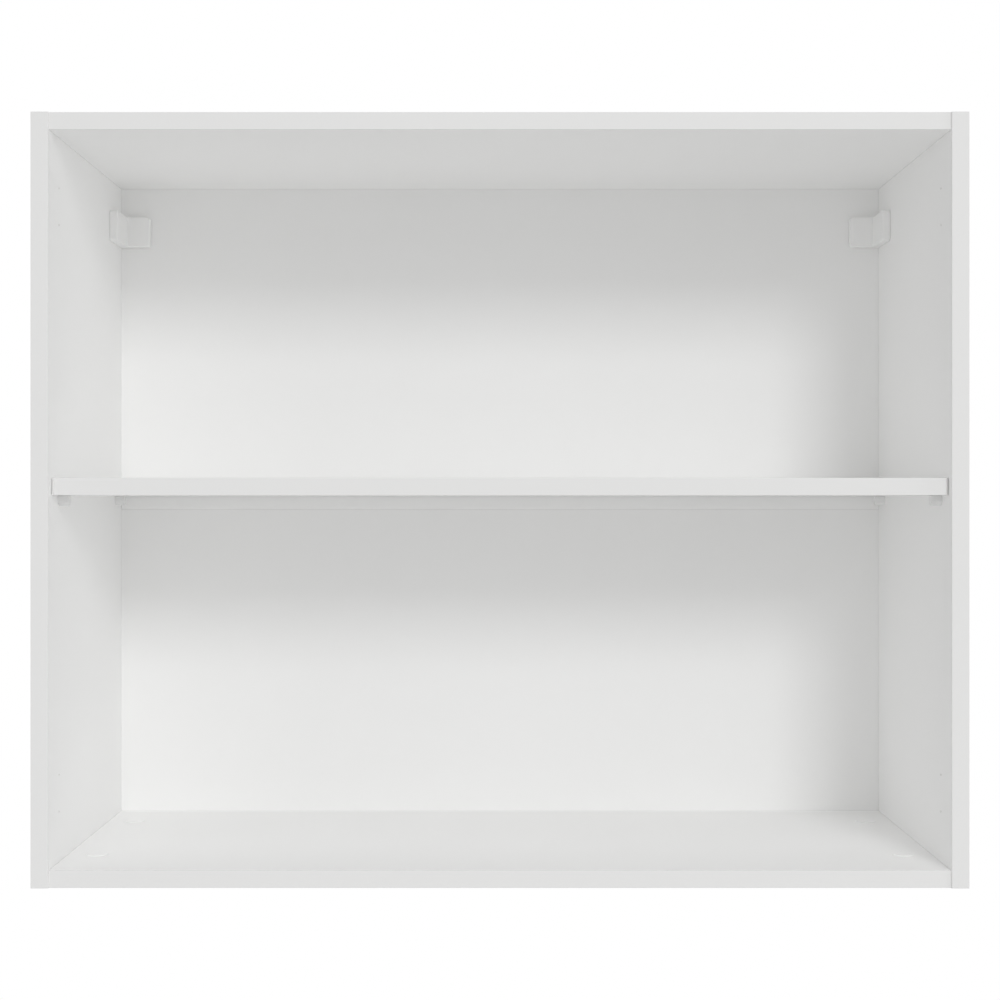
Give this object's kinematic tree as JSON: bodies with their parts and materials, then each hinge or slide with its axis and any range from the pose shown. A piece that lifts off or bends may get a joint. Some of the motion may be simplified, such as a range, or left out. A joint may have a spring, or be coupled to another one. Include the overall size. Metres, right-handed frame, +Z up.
{
  "type": "hanging wall cabinet",
  "caption": "Open-fronted wall cabinet of coated board with a loose shelf on pegs, a grooved back with a joining strip, covered corner hangers and pilot holes for door hinges.",
  "frame": {"origin": "on the wall plane, in the middle of the cabinet's width, level with its underside", "axes": "+X to the right across the width, +Y into the wall, +Z up"},
  "size_m": [0.8, 0.298, 0.662],
  "materials": {
    "white_board": "matt white melamine on chipboard, raw at the hidden edges",
    "white_band": "matt white edge band",
    "white_hardboard": "matt white lacquer in front, bare brown hardboard behind",
    "white_plastic": "matt white moulded or extruded plastic",
    "cast_zinc": "dull zinc casting",
    "plated_steel": "bright zinc plating",
    "beech": "raw beech, fluted"
  },
  "bodies": {
    "carcass": {"left_side_panel": "white_board", "right_side_panel": "white_board", "top_panel": "white_board", "bottom_panel": "white_board", "left_front_band": "white_band", "right_front_band": "white_band", "top_front_band": "white_band", "bottom_front_band": "white_band", "side_end_bands": "white_band", "back_panel_upper": "white_hardboard", "back_panel_lower": "white_hardboard", "back_joint_strip": "white_plastic", "left_shelf_supports": "white_plastic", "right_shelf_supports": "white_plastic", "bottom_cam_caps": "white_plastic", "top_cam_locks": "cast_zinc", "bottom_cam_locks": "cast_zinc", "left_cam_bolts": "plated_steel", "right_cam_bolts": "plated_steel", "left_hanger_bracket": "plated_steel", "right_hanger_bracket": "plated_steel", "left_bracket_screws": "plated_steel", "right_bracket_screws": "plated_steel", "wood_dowels": "beech"},
    "shelf": {"shelf_board": "white_board", "shelf_front_band": "white_band"},
    "left_cover": {"left_hanger_cover": "white_plastic"},
    "right_cover": {"right_hanger_cover": "white_plastic"}
  },
  "joints": [
    {"name": "shelf_slide", "type": "slide", "parent": "carcass", "child": "shelf", "axis": [0, -1, 0], "range_m": [0, 0.3]},
    {"name": "left_cover_slide", "type": "slide", "parent": "carcass", "child": "left_cover", "axis": [0, -1, 0], "range_m": [0, 0.3]},
    {"name": "right_cover_slide", "type": "slide", "parent": "carcass", "child": "right_cover", "axis": [0, -1, 0], "range_m": [0, 0.3]}
  ]
}
